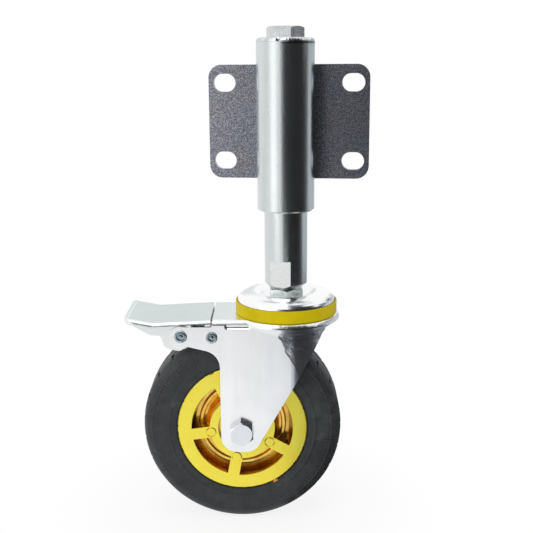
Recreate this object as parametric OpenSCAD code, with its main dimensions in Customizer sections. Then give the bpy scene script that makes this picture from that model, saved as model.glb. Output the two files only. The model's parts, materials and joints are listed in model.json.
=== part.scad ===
// Spring loaded gate caster: a slotted plate carries a tube, a sprung stem slides in the tube,
// and the stem carries a swivel head with two ball races, a pressed fork, a wheel and a foot brake.
// Frame: origin at the middle of the plate's back face, +Y into the gate, +Z up, millimetres.

/* [Mounting plate] */
// Width of the plate along X
plate_w = 100; // [92:1:140]
// Height of the plate along Z
plate_h = 70; // [64:1:110]
// Thickness of the plate
plate_t = 4; // [3:0.5:6]
// Radius of the plate's corners
plate_corner_r = 8; // [4:0.5:12]
// Distance from the slot centres to the plate's side edges
slot_edge_x = 10; // [9:0.5:14]
// Distance from the slot centres to the plate's top and bottom edges
slot_edge_z = 11; // [8:0.5:14]
// Width of each slot, for an M10 bolt
slot_w = 11; // [8:0.5:12]
// Length of each slot, end to end
slot_len = 14; // [13:0.5:16]

/* [Tube and stem] */
// Outside diameter of the outer tube
tube_od = 35; // [34:0.5:40]
// Wall of the outer tube
tube_wall = 3; // [2.5:0.25:3.25]
// Length of the outer tube
tube_len = 100; // [98:1:130]
// How far the tube stands above the plate's top edge
tube_rise = 13; // [8:1:20]
// Leg of the weld beads beside the tube
weld_leg = 4; // [3:0.5:5]
// Radial clearance between the sliding stem tube and the outer tube's bore
stem_gap = 1.25; // [1:0.05:1.5]
// Wall of the stem tube
stem_wall = 3.5; // [3:0.25:4]
// Length of stem that shows below the tube
stem_shown = 47; // [44:1:60]
// Depth of the two spanner flats on the stem
stem_flat_depth = 1.85; // [1.2:0.05:2.2]
// Height of the spanner flats
stem_flat_h = 16; // [10:0.5:20]
// Length of the guide bush in the tube's mouth
bush_len = 16; // [12:1:20]
// Height of the spring seat's collar
seat_h = 6; // [4:0.5:8]
// Stroke of the stem
stroke = 40; // [20:1:41]
// Wire diameter of the spring
wire_d = 3; // [2:0.25:3]
// Turns of the spring, with the two closed end turns
spring_turns = 8; // [6:0.5:8]

/* [Bolts] */
// Diameter of the guide bolt and of the kingpin
bolt_d = 12; // [10:0.5:12]
// Distance across the flats of the guide bolt's head and of the stem nut
hex_af = 20; // [18:0.5:21]
// Height of the guide bolt's head
guide_head_h = 6.5; // [5:0.5:8]
// Height of the stem nut
stem_nut_h = 7.2; // [6.4:0.1:8]
// Diameter of the axle bolt
axle_d = 8; // [7:0.5:8]
// Distance across the flats of the axle bolt's head and nut
axle_af = 13.5; // [12:0.5:14]
// Height of the axle bolt's head
axle_head_h = 5.5; // [4:0.5:7]

/* [Swivel head] */
// Radius of the domed swivel cap
cap_r = 30.5; // [30:0.25:31]
// Height of the dome's crown above its middle
dome_rise = 5; // [4.5:0.25:6]
// Thickness of the pressed races
race_t = 2.5; // [2:0.25:2.5]
// Diameter of the race balls
ball_d = 4.75; // [4.5:0.05:5]
// Pitch radius of the upper balls
upper_race_r = 20; // [19.5:0.25:20.5]
// Pitch radius of the lower balls
lower_race_r = 16; // [15.75:0.25:16.25]
// Number of balls in the upper race
upper_balls_n = 22; // [12:1:24]
// Number of balls in the lower race
lower_balls_n = 18; // [10:1:19]
// Height of the dust ring
ring_h = 7.7; // [7:0.1:8]
// Height of the kingpin's head
kingpin_head_h = 4.5; // [3:0.5:5]

/* [Fork] */
// Turn of the fork about the stem, as it stands at rest
fork_heading = 7; // [0:1:20]
// Outside width of the fork
fork_w = 46; // [46:0.5:50]
// Thickness of the fork's sheet
fork_t = 2.5; // [2:0.25:2.5]
// Outside radius of the bend along the fork's top edges
fork_bend_r = 3; // [2.5:0.25:4]
// Radius of the fork's round crown
crown_r = 33.5; // [33:0.25:35]
// Height of the raised race above the fork's top
boss_h = 6; // [5.5:0.25:6.5]
// Distance of the axle behind the swivel axis
axle_trail = 28.2; // [24:0.2:30]
// Depth of the axle below the fork's top
axle_drop = 71.9; // [71.9:0.1:80]
// Distance from the axle to the leg's end and back edge
leg_r = 13.4; // [12:0.2:16]
// Height of the crown's front skirt
skirt_h = 10.5; // [9:0.5:14]

/* [Wheel] */
// Outside diameter of the tyre
wheel_d = 125; // [115:1:125]
// Width of the tyre
wheel_w = 36; // [34:0.5:36]
// Grooves across each shoulder of the tread
tread_grooves_n = 27; // [18:1:36]
// Depth of the tread's grooves
groove_depth = 1; // [0.6:0.1:2]
// Radius where the tyre's side meets the rim
rim_r = 41; // [40:0.5:44]
// Radial width of the rim's face
rim_face = 9; // [7:0.5:10]
// Outer radius of the hub's face
hub_r = 20.5; // [18:0.5:22]
// Radius of the recess in the hub
hub_recess_r = 14.7; // [13:0.1:16]
// Number of spokes on each side
spokes = 5; // [3:1:7]
// Width of a spoke
spoke_w = 7.3; // [5:0.1:9]
// Outside diameter of the wheel's ball bearings
bearing_od = 22; // [20:0.5:24]
// Width of each wheel bearing
bearing_w = 7; // [6:0.5:8]

/* [Brake] */
// Distance of the pedal's pivot behind the swivel axis
pedal_pivot_x = 64.8; // [64:0.2:66]
// Depth of the pedal's pivot below the fork's top
pedal_pivot_drop = 9.9; // [9.8:0.05:10.2]
// Distance of the brake shoe's pivot behind the swivel axis
shoe_pivot_x = 45.9; // [45:0.1:47]
// Depth of the shoe's pivot below the fork's top
shoe_pivot_drop = 10.6; // [10:0.1:11]
// Sheet of the pedal and the shoe
pedal_t = 2.2; // [1.8:0.1:2.4]
// Width of the pedal
pedal_w = 46; // [44:0.5:50]
// Length of the pedal's level part
pedal_level_len = 35.6; // [34:0.2:40]
// Length of the pedal's raised toe
pedal_toe_len = 17; // [12:0.5:24]
// Drop of the pedal from the fork to its bend
pedal_dip = 1.6; // [0.6:0.1:1.8]
// Rise of the toe above the bend
pedal_toe_rise = 3.3; // [0:0.1:8]

/* [Hidden] */
$fn = 64;
eps = 0.01;
// Longer than any piece, for outlines and cuts that go right through
far = 150;
// Radial clearance of a turning or sliding fit
run_gap = 0.06;
// Clearance between two pieces of one body
seat_gap = 0.03;
// Clearance between two pieces that move past each other
side_gap = 0.3;
// Clearance of the balls to the race that runs over them
ball_gap = 0.2;

// Plate and tube
tube_r = tube_od / 2;
bore_r = tube_r - tube_wall;
tube_y = plate_t + tube_r;
tube_top_z = plate_h / 2 + tube_rise;
tube_bottom_z = tube_top_z - tube_len;
tube_chamfer = 1;
cap_t = 2.5;
cap_spigot = 3;
cap_weld_leg = 2.4;
bolt_r = bolt_d / 2;
cap_top_z = tube_top_z + cap_t;
spigot_z = tube_top_z - cap_spigot;
bush_top_z = tube_bottom_z + 1 + bush_len;

// Stem and spring
stem_r = bore_r - stem_gap;
stem_bore_r = stem_r - stem_wall;
stem_bottom_z = tube_bottom_z - stem_shown;
spring_solid = wire_d * (spring_turns + 1);
seat_top_z = spigot_z - stroke - spring_solid;
stem_top_z = seat_top_z - seat_h;
seat_spigot = 12;
plug_len = 14;
wire_r = wire_d / 2;
coil_r = bore_r - 0.4 - wire_r;
spring_bottom_z = seat_top_z + wire_r + seat_gap;
spring_top_z = spigot_z - wire_r - seat_gap;
stem_flat_turn = -12.7;
guide_hex_turn = -8;
stem_hex_turn = 9.3;

// Swivel head, from the stem's end down
ball_r = ball_d / 2;
neck_h = 1.8;
nut_top_z = stem_bottom_z - neck_h;
dome_z = nut_top_z - stem_nut_h;
dome_flat_r = hex_af / 2;
crown_z = dome_z + dome_rise;
dome_side_h = dome_rise + 0.6;
dome_rim_z = dome_z - 2.3;
upper_ball_z = crown_z - race_t - ball_gap - ball_r;
boss_top_z = upper_ball_z - ball_r - seat_gap;
fork_top_z = boss_top_z - boss_h;
lower_ball_z = boss_top_z - fork_t - ball_gap - ball_r;
cup_top_z = lower_ball_z - ball_r - seat_gap;
cup_bottom_z = cup_top_z - race_t;
sleeve_r = bolt_r + 3;
boss_hole_r = lower_race_r - ball_r - 1.1;
boss_flat_r = upper_race_r + ball_r + 1.2;
boss_slope = 3;
cup_flat_r = lower_race_r + ball_r + 0.4;
kingpin_head_r = bolt_r + 3.5;
ring_r = cap_r + 1.2;

// Fork, in its own frame with the swivel axis at x = 0 and the wheel towards -x
pedal_z = fork_top_z - pedal_pivot_drop;
half_w = fork_w / 2;
inner_half_w = half_w - fork_t;
axle_x = -axle_trail;
axle_z = fork_top_z - axle_drop;
slit_x = -(shoe_pivot_x - 0.5);
slit_gap = 1.1;
nose_x = 2.5;
ear_top_z = fork_top_z - 4;
ear_r = 7.1;
arm_bottom_z = pedal_z - ear_r + 1;
throat_x = nose_x + half_w - 2.8;
flare_h = skirt_h;
flare_r = half_w - 0.1;

// Wheel, in its own frame with the axle along z
wheel_r = wheel_d / 2;
half_tyre = wheel_w / 2;
rim_half = half_tyre - 0.3;
rim_inner_r = rim_r - rim_face;
rim_seat_r = rim_r - 3.5;
shoulder_r = 8;
recess_w = rim_half - 3.2;
groove_w = 2;
groove_reach = 11;
ring_groove_w = 1.6;
groove_turn = 0.3;
axle_r = axle_d / 2;
bearing_r = bearing_od / 2;
bearing_in = recess_w - bearing_w;
race_pitch = (bearing_r + axle_r) / 2;
bearing_ball_r = (bearing_r - axle_r) * 0.28;
ring_wall = (bearing_r - axle_r) * 0.34;
bearing_balls_n = 7;

// Brake
pedal_x = -pedal_pivot_x;
shoe_x = -shoe_pivot_x;
shoe_z = fork_top_z - shoe_pivot_drop;
pedal_half = pedal_w / 2;
pedal_start = [slit_x - slit_gap, fork_top_z];
pedal_bend = pedal_start + [-pedal_level_len, -pedal_dip];
pedal_tip = pedal_bend + [-pedal_toe_len, pedal_toe_rise];
pedal_lip = 3.4;
wall_out = inner_half_w - side_gap;
wall_in = wall_out - pedal_t - 0.2;
rivet_r = 2.5;
leaf_t = 2;
leaf_half = wall_in - 2.8;
leaf_top_z = pedal_bend.y - pedal_t - side_gap - 0.05;
leaf_end_x = pedal_bend.x + 2;
nose_reach = 7.9;

// Points of a closed outline whose corners [x, y, radius] are rounded
function corner_arc(p, q, s, r) =
    let (
        u = (p - q) / norm(p - q),
        v = (s - q) / norm(s - q),
        half = acos(u * v) / 2,
        centre = q + (u + v) / norm(u + v) * r / sin(half),
        from = q + u * r / tan(half) - centre,
        to = q + v * r / tan(half) - centre,
        start = atan2(from.y, from.x),
        sweep = (atan2(to.y, to.x) - start + 540) % 360 - 180,
        steps = 6
    )
    [for (i = [0:steps]) centre + r * [cos(start + sweep * i / steps), sin(start + sweep * i / steps)]];
function flat_point(c) = [c[0], c[1]];
function rounded(corners) =
    let (n = len(corners))
    [
        for (i = [0:n - 1])
            let (
                p = flat_point(corners[(i + n - 1) % n]),
                q = flat_point(corners[i]),
                s = flat_point(corners[(i + 1) % n])
            )
            each (corners[i][2] == 0 ? [q] : corner_arc(p, q, s, corners[i][2]))
    ];

module at_tube() {
    translate([0, -tube_y, 0]) children();
}

module at_fork() {
    at_tube() rotate([0, 0, fork_heading]) children();
}

// The wheel's frame: x along the fork, y up, z towards the fork's head side
module at_axle() {
    at_fork() translate([axle_x, 0, axle_z]) rotate([90, 0, 0]) children();
}

// Extrudes an x-z outline along y, centred
module side_extrude(width) {
    rotate([90, 0, 0]) linear_extrude(width, center = true) children();
}

// Copies onto both sides of the fork
module both_sides() {
    children();
    mirror([0, 1, 0]) children();
}

// A straight tube or a solid rod along z
module ring_z(outer, inner, low, high) {
    translate([0, 0, low])
        difference() {
            cylinder(r = outer, h = high - low);
            if (inner > 0) translate([0, 0, -1]) cylinder(r = inner, h = high - low + 2);
        }
}

// A hexagon prism with its corners chamfered at the top, and at the bottom if asked
module hex_head(af, height, both = false) {
    corner = af / sqrt(3);
    cut = corner - af / 2 + 0.2;
    slope_h = cut * 0.6;
    low_r = both ? corner - cut : corner;
    intersection() {
        cylinder(r = corner, h = height, $fn = 6);
        rotate_extrude()
            polygon([
                [0, 0],
                [low_r, 0],
                [corner + eps, both ? slope_h : 0],
                [corner + eps, height - slope_h],
                [corner - cut, height],
                [0, height]
            ]);
    }
}

// The slot of one plate hole
module slot_outline() {
    run = slot_len - slot_w;
    square([run, slot_w], center = true);
    for (side = [-1, 1]) translate([side * run / 2, 0]) circle(d = slot_w);
}

module mount_plate() {
    half_x = plate_w / 2;
    half_z = plate_h / 2;
    color("dimgray")
        translate([0, -plate_t / 2, 0])
            side_extrude(plate_t)
                difference() {
                    union() {
                        square([plate_w - 2 * plate_corner_r, plate_h], center = true);
                        square([plate_w, plate_h - 2 * plate_corner_r], center = true);
                        for (i = [-1, 1])
                            for (j = [-1, 1])
                                translate([i * (half_x - plate_corner_r), j * (half_z - plate_corner_r)])
                                    circle(r = plate_corner_r);
                    }
                    for (i = [-1, 1])
                        for (j = [-1, 1])
                            translate([i * (half_x - slot_edge_x), j * (half_z - slot_edge_z)]) slot_outline();
                }
}

// One bead fills the wedge between the plate and the tube's side
module plate_weld() {
    throat = weld_leg * 0.55;
    reach = sqrt(pow(tube_r, 2) - pow(tube_r - throat, 2));
    inner_x = reach - weld_leg - 0.5;
    intersection() {
        difference() {
            translate([reach - weld_leg * 0.45, -plate_t + weld_leg * 0.15, -plate_h / 2 + 3])
                cylinder(r = weld_leg * 0.95, h = plate_h - 6);
            at_tube() translate([0, 0, -plate_h]) cylinder(r = tube_r, h = 2 * plate_h);
        }
        translate([inner_x, -plate_t - 2 * weld_leg, -plate_h / 2])
            cube([4 * weld_leg, 2 * weld_leg, plate_h]);
    }
}

module plate_welds() {
    color("darkgray") {
        plate_weld();
        mirror([1, 0, 0]) plate_weld();
    }
}

module outer_tube() {
    color("silver")
        at_tube()
            rotate_extrude()
                polygon([
                    [bore_r, tube_bottom_z],
                    [tube_r - tube_chamfer, tube_bottom_z],
                    [tube_r, tube_bottom_z + tube_chamfer],
                    [tube_r, tube_top_z],
                    [bore_r, tube_top_z]
                ]);
}

// The lid of the tube: a disc with a spigot, drilled for the guide bolt
module top_cap() {
    color("lightgray")
        at_tube() {
            ring_z(tube_r - cap_weld_leg, bolt_r + run_gap, tube_top_z, cap_top_z);
            ring_z(bore_r - seat_gap, bolt_r + run_gap, spigot_z, tube_top_z);
        }
}

// The bead that joins the lid to the tube's end
module cap_weld() {
    inner = tube_r - cap_weld_leg;
    color("darkgray")
        at_tube()
            rotate_extrude()
                polygon([
                    [inner, tube_top_z],
                    [tube_r - 0.1, tube_top_z],
                    [tube_r - 0.5, tube_top_z + cap_t * 0.5],
                    [tube_r - 1.3, tube_top_z + cap_t * 0.85],
                    [inner, cap_top_z - 0.1]
                ]);
}

module guide_bush() {
    color("ivory")
        at_tube() ring_z(bore_r - seat_gap, stem_r + run_gap, tube_bottom_z + 1, bush_top_z);
}

// Height along the spring: the first and the last turn lie closed
function coil_height(turn) =
    let (
        closed = wire_d + 0.1,
        open_pitch = (spring_top_z - spring_bottom_z - 2 * closed) / (spring_turns - 2)
    )
    turn < 1 ? turn * closed :
    turn > spring_turns - 1 ? spring_top_z - spring_bottom_z - (spring_turns - turn) * closed :
    closed + (turn - 1) * open_pitch;

module coil_spring() {
    sides = 8;
    steps = 20;
    rings = round(spring_turns * steps);
    points = [
        for (i = [0:rings])
            for (k = [0:sides - 1])
                let (
                    turn = i / steps,
                    reach = coil_r + wire_r * cos(k * 360 / sides),
                    lift = wire_r * sin(k * 360 / sides)
                )
                [
                    reach * cos(turn * 360),
                    reach * sin(turn * 360),
                    spring_bottom_z + coil_height(turn) + lift
                ]
    ];
    faces = [
        [for (k = [0:sides - 1]) k],
        for (i = [0:rings - 1])
            for (k = [0:sides - 1])
                let (a = i * sides, b = (k + 1) % sides)
                [a + k, a + sides + k, a + sides + b, a + b],
        [for (k = [sides - 1:-1:0]) rings * sides + k]
    ];
    color("dimgray") at_tube() polyhedron(points, faces, convexity = 10);
}

// The sliding stem: a tube with two spanner flats near its end
module stem_tube() {
    flat_top_z = stem_bottom_z + 0.6 + stem_flat_h;
    color("gainsboro")
        at_tube()
            difference() {
                rotate_extrude()
                    polygon([
                        [stem_bore_r, stem_bottom_z],
                        [stem_r - 1.5, stem_bottom_z],
                        [stem_r, stem_bottom_z + 1.5],
                        [stem_r, stem_top_z],
                        [stem_bore_r, stem_top_z]
                    ]);
                rotate([0, 0, stem_flat_turn])
                    for (side = [0, 180])
                        rotate([0, 0, side])
                            translate([-stem_r, -2 * stem_r + stem_flat_depth, stem_bottom_z - 1])
                                cube([2 * stem_r, stem_r, flat_top_z - stem_bottom_z + 1]);
            }
}

// The collar that carries the spring and guides the stem's top in the tube
module spring_seat() {
    color("darkgray")
        at_tube() {
            ring_z(bore_r - run_gap, bolt_r + seat_gap, stem_top_z, seat_top_z);
            ring_z(stem_bore_r - seat_gap, bolt_r + seat_gap, stem_top_z - seat_spigot, stem_top_z);
        }
}

module guide_bolt() {
    color("lightgray")
        at_tube() {
            translate([0, 0, stem_top_z - seat_spigot + 2])
                cylinder(r = bolt_r, h = cap_top_z - stem_top_z + seat_spigot - 2);
            translate([0, 0, cap_top_z]) rotate([0, 0, guide_hex_turn]) hex_head(hex_af, guide_head_h);
        }
}

// The threaded plug in the stem's lower end
module stem_plug() {
    color("darkgray")
        at_tube() ring_z(stem_bore_r - seat_gap, bolt_r + seat_gap, stem_bottom_z, stem_bottom_z + plug_len);
}

module stem_nut() {
    color("silver")
        at_tube()
            difference() {
                translate([0, 0, dome_z])
                    rotate([0, 0, stem_hex_turn - 90]) hex_head(hex_af, stem_nut_h, true);
                translate([0, 0, dome_z - 1]) cylinder(r = bolt_r + seat_gap, h = stem_nut_h + 2);
            }
}

// The bolt that holds the races together and screws up into the stem
module kingpin() {
    head_z = cup_bottom_z - kingpin_head_h;
    color("lightgray")
        at_tube() {
            translate([0, 0, cup_bottom_z])
                cylinder(r = bolt_r, h = stem_bottom_z + plug_len - 2 - cup_bottom_z);
            rotate_extrude()
                polygon([
                    [0, head_z],
                    [kingpin_head_r - 2.5, head_z],
                    [kingpin_head_r - 0.8, head_z + 1],
                    [kingpin_head_r, head_z + 2.4],
                    [kingpin_head_r, cup_bottom_z],
                    [0, cup_bottom_z]
                ]);
        }
}

// Dome: a smooth rise from the middle to the crown, then a quarter ellipse down to the rim
function dome_top(r) = dome_rise * (1 - cos(180 * (r - dome_flat_r) / (upper_race_r - dome_flat_r))) / 2;

module swivel_cap() {
    steps = 8;
    side_w = cap_r - upper_race_r;
    inner_w = side_w - race_t;
    inner_h = dome_side_h - race_t;
    side_z = crown_z - dome_side_h;
    rise = [
        for (i = [0:steps])
            let (r = dome_flat_r + (upper_race_r - dome_flat_r) * i / steps)
            [r, dome_z + dome_top(r)]
    ];
    fall = [
        for (i = [1:steps])
            [upper_race_r + side_w * sin(90 * i / steps), side_z + dome_side_h * cos(90 * i / steps)]
    ];
    under_fall = [
        for (i = [steps:-1:1])
            [upper_race_r + inner_w * sin(90 * i / steps), side_z + inner_h * cos(90 * i / steps)]
    ];
    under_rise = [for (i = [steps:-1:0]) rise[i] - [0, race_t]];
    color("silver")
        at_tube()
            rotate_extrude()
                polygon(concat(
                    [[bolt_r + seat_gap, dome_z]],
                    rise,
                    fall,
                    [[cap_r, dome_rim_z], [cap_r - race_t, dome_rim_z]],
                    under_fall,
                    under_rise,
                    [[bolt_r + seat_gap, dome_z - race_t]]
                ));
}

module kingpin_sleeve() {
    color("darkgray") at_tube() ring_z(sleeve_r, bolt_r + seat_gap, cup_top_z, dome_z - race_t);
}

// The lower race: a dish with a raised rim
module bottom_cup() {
    rim = cup_flat_r;
    color("darkgray")
        at_tube()
            rotate_extrude()
                polygon([
                    [bolt_r + seat_gap, cup_bottom_z],
                    [rim + 0.6, cup_bottom_z],
                    [rim + 2, cup_bottom_z + 1.4],
                    [rim + 2, lower_ball_z + 1.2],
                    [rim, lower_ball_z + 1.2],
                    [rim, cup_top_z],
                    [bolt_r + seat_gap, cup_top_z]
                ]);
}

module ball_circle(count, pitch_r, radius) {
    for (i = [0:count - 1]) rotate([0, 0, 360 * i / count]) translate([pitch_r, 0, 0]) sphere(r = radius);
}

module lower_balls() {
    color("white") at_tube() translate([0, 0, lower_ball_z]) ball_circle(lower_balls_n, lower_race_r, ball_r);
}

module upper_balls() {
    color("white") at_tube() translate([0, 0, upper_ball_z]) ball_circle(upper_balls_n, upper_race_r, ball_r);
}

// Side view of the fork: rear ears, top, front skirt and the leg down to the axle
module fork_side_outline() {
    front_x = crown_r + 1;
    skirt_z = fork_top_z - skirt_h;
    heel_z = axle_z - leg_r - 0.3;
    union() {
        polygon(rounded([
            [slit_x, fork_top_z, 0],
            [front_x, fork_top_z, 0],
            [front_x, skirt_z, 0],
            [throat_x, skirt_z, 3],
            [axle_x + leg_r * 0.6, heel_z, 9],
            [axle_x - leg_r + 0.4, heel_z, 10],
            [axle_x - leg_r + 0.4, arm_bottom_z - 5.2, 11],
            [pedal_x + 2.8, arm_bottom_z, 0],
            [pedal_x, pedal_z, 0],
            [pedal_x - 3.6, ear_top_z, 2.5],
            [slit_x, ear_top_z, 0]
        ]));
        translate([pedal_x - 0.3, pedal_z - 0.9]) circle(r = ear_r);
    }
}

// Channel section across the fork, and its hollow
module fork_section() {
    polygon(rounded([
        [-half_w, fork_top_z - far, 0],
        [half_w, fork_top_z - far, 0],
        [half_w, fork_top_z, fork_bend_r],
        [-half_w, fork_top_z, fork_bend_r]
    ]));
}

// Plan of the channel: straight sides and a round nose
module fork_plan(radius) {
    translate([-far, -radius]) square([far + nose_x, 2 * radius]);
    translate([nose_x, 0]) circle(r = radius);
}

// The crown: a disc that flares down and inwards into the channel
module fork_crown() {
    edge_r = crown_r - fork_bend_r;
    rotate_extrude()
        polygon(concat(
            [[0, fork_top_z]],
            [
                for (i = [0:6])
                    [edge_r + fork_bend_r * sin(15 * i), fork_top_z - fork_bend_r + fork_bend_r * cos(15 * i)]
            ],
            [[flare_r, fork_top_z - flare_h], [0, fork_top_z - flare_h]]
        ));
}

module fork_crown_hollow() {
    rotate_extrude()
        polygon([
            [0, fork_top_z - fork_t],
            [crown_r - fork_bend_r, fork_top_z - fork_t],
            [crown_r - fork_t, fork_top_z - fork_bend_r - 0.4],
            [flare_r - fork_t, fork_top_z - flare_h - 0.4],
            [0, fork_top_z - flare_h - 0.4]
        ]);
}

// Raised race in the middle of the crown, and the hollow under it
module fork_boss(grow, drop) {
    rotate_extrude()
        polygon([
            [0, fork_top_z - drop],
            [boss_flat_r + boss_slope + grow, fork_top_z - drop],
            [boss_flat_r + grow, boss_top_z - (drop > 1 ? fork_t : 0)],
            [0, boss_top_z - (drop > 1 ? fork_t : 0)]
        ]);
}

module fork() {
    pocket_len = 13;
    pocket_r = 2;
    pocket_depth = 1.1;
    pocket_x = slit_x + 9;
    pocket_z = fork_top_z - 4;
    color("whitesmoke")
        at_fork()
            difference() {
                union() {
                    intersection() {
                        side_extrude(fork_w + 2) fork_side_outline();
                        translate([-far, 0, 0]) rotate([90, 0, 90]) linear_extrude(2 * far) fork_section();
                        translate([0, 0, fork_top_z - far]) linear_extrude(far + eps) fork_plan(half_w);
                    }
                    fork_crown();
                    fork_boss(0, 0.5);
                }
                translate([0, 0, fork_top_z - far]) linear_extrude(far - fork_t) fork_plan(inner_half_w);
                fork_crown_hollow();
                fork_boss(-1.6, fork_t + 0.1);
                translate([0, 0, fork_top_z - far]) cylinder(r = boss_hole_r, h = 2 * far);
                // Pressed trough with round ends along the top edge of each side
                both_sides()
                    translate([pocket_x, half_w + pocket_r - pocket_depth, pocket_z])
                        rotate([0, 90, 0]) {
                            cylinder(r = pocket_r, h = pocket_len);
                            sphere(r = pocket_r);
                            translate([0, 0, pocket_len]) sphere(r = pocket_r);
                        }
                // Axle and rivet holes
                translate([axle_x, 0, axle_z])
                    rotate([90, 0, 0]) cylinder(r = axle_r + seat_gap, h = fork_w + 2, center = true);
                translate([pedal_x, 0, pedal_z])
                    rotate([90, 0, 0]) cylinder(r = rivet_r + seat_gap, h = fork_w + 2, center = true);
                translate([shoe_x, 0, shoe_z])
                    rotate([90, 0, 0]) cylinder(r = rivet_r + seat_gap, h = fork_w + 2, center = true);
            }
}

// The seal round the swivel cap's rim
module dust_ring() {
    step_z = dome_rim_z - 0.4;
    low_z = fork_top_z + seat_gap;
    high_z = fork_top_z + ring_h;
    color("gold")
        at_tube()
            rotate_extrude()
                polygon(rounded([
                    [ring_r - 3.6, low_z, 0],
                    [ring_r, low_z, 0.6],
                    [ring_r, high_z, 0.3],
                    [cap_r + 0.4, high_z, 0],
                    [cap_r + 0.4, step_z, 0],
                    [ring_r - 3.6, step_z, 0]
                ]));
}

// Axle parts, in the wheel's frame
module axle_bolt() {
    color("silver")
        at_axle() {
            translate([0, 0, -half_w - 10]) cylinder(r = axle_r, h = fork_w + 10);
            translate([0, 0, half_w]) rotate([0, 0, 35]) hex_head(axle_af, axle_head_h);
        }
}

// A lock nut: a hexagon with a round collar
module axle_nut() {
    hex_h = 6.2;
    collar_h = 2;
    color("silver")
        at_axle()
            translate([0, 0, -half_w])
                mirror([0, 0, 1])
                    difference() {
                        union() {
                            hex_head(axle_af, hex_h);
                            cylinder(r = axle_af / 2 - 0.7, h = hex_h + collar_h);
                        }
                        translate([0, 0, -1]) cylinder(r = axle_r + seat_gap, h = far);
                    }
}

module axle_sleeve() {
    color("darkgray") at_axle() ring_z(axle_r + ring_wall - 0.2, axle_r + seat_gap, -bearing_in, bearing_in);
}

module side_spacers() {
    color("darkgray")
        at_axle()
            for (side = [0, 1])
                mirror([0, 0, side])
                    ring_z(axle_r + ring_wall - 0.1, axle_r + seat_gap, recess_w, inner_half_w);
}

// A bearing ring with its ball groove
module bearing_ring(outer, inner) {
    translate([0, 0, bearing_in])
        rotate_extrude()
            difference() {
                translate([inner, 0]) square([outer - inner, bearing_w]);
                translate([race_pitch, bearing_w / 2]) circle(r = bearing_ball_r + run_gap);
            }
}

module bearing_inner_rings() {
    color("lightgray")
        at_axle()
            for (side = [0, 1]) mirror([0, 0, side]) bearing_ring(axle_r + ring_wall, axle_r + seat_gap);
}

module bearing_outer_rings() {
    color("lightgray")
        at_axle()
            for (side = [0, 1]) mirror([0, 0, side]) bearing_ring(bearing_r - seat_gap, bearing_r - ring_wall);
}

module bearing_balls() {
    color("white")
        at_axle()
            for (side = [-1, 1])
                translate([0, 0, side * (bearing_in + bearing_w / 2)])
                    ball_circle(bearing_balls_n, race_pitch, bearing_ball_r);
}

// A flared rivet through one fork ear: a shoulder inside, and outside a rolled rim round a domed middle
module ear_rivet(head_r, inner_y) {
    flange_h = 0.9;
    flange_r = rivet_r + 0.8;
    seat_y = half_w + seat_gap;
    rim_in_r = head_r - 1.5;
    dome_r = 1.4;
    rotate([90, 0, 0])
        rotate_extrude()
            polygon([
                [0, inner_y],
                [flange_r, inner_y],
                [flange_r, inner_y + flange_h],
                [rivet_r, inner_y + flange_h],
                [rivet_r, seat_y],
                [head_r, seat_y],
                [head_r, seat_y + 0.4],
                [head_r - 0.5, seat_y + 1.1],
                [rim_in_r + 0.3, seat_y + 1.2],
                [rim_in_r, seat_y + 0.8],
                [rim_in_r - 0.2, seat_y - 0.6],
                [dome_r, seat_y - 0.6],
                [dome_r - 0.3, seat_y + 0.2],
                [0, seat_y + 0.5]
            ]);
}

module pedal_rivets() {
    color("gray")
        at_fork()
            both_sides()
                translate([pedal_x, 0, pedal_z]) ear_rivet(rivet_r + 1.4, wall_in - side_gap - 0.9);
}

module shoe_rivets() {
    color("gray")
        at_fork()
            both_sides()
                translate([shoe_x, 0, shoe_z]) ear_rivet(rivet_r + 1.1, wall_out - leaf_t - side_gap - 0.9);
}

// Section of the tyre: one side's corners, then the same corners mirrored
module tyre_section() {
    ring_high = half_tyre - groove_reach;
    ring_low = ring_high - ring_groove_w;
    low_r = wheel_r - groove_depth;
    seat_r = rim_r + seat_gap;
    side = [
        [wheel_r, ring_low, 0],
        [low_r, ring_low, 0],
        [low_r, ring_high, 0],
        [wheel_r, ring_high, 0],
        [wheel_r, half_tyre, shoulder_r],
        [rim_r + 5, half_tyre, 3],
        [seat_r, rim_half - 0.3, 0],
        [seat_r, rim_half - 3, 0],
        [rim_seat_r + seat_gap, rim_half - 3, 0]
    ];
    mirrored = [for (i = [len(side) - 1:-1:0]) [side[i][0], -side[i][1], side[i][2]]];
    polygon(rounded(concat(side, mirrored)));
}

// One groove that runs from the tread's ring groove out over the shoulder
module shoulder_groove() {
    translate([wheel_r - groove_depth, -groove_w / 2, half_tyre - groove_reach - 1])
        cube([2 * groove_depth, groove_w, groove_reach + 2]);
}

module tyre() {
    color("#2b2d2e")
        at_axle()
            difference() {
                rotate_extrude() tyre_section();
                for (side = [0, 1])
                    mirror([0, 0, side])
                        for (i = [0:tread_grooves_n - 1])
                            rotate([0, 0, groove_turn + 360 * (i + side / 2) / tread_grooves_n])
                                shoulder_groove();
            }
}

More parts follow.
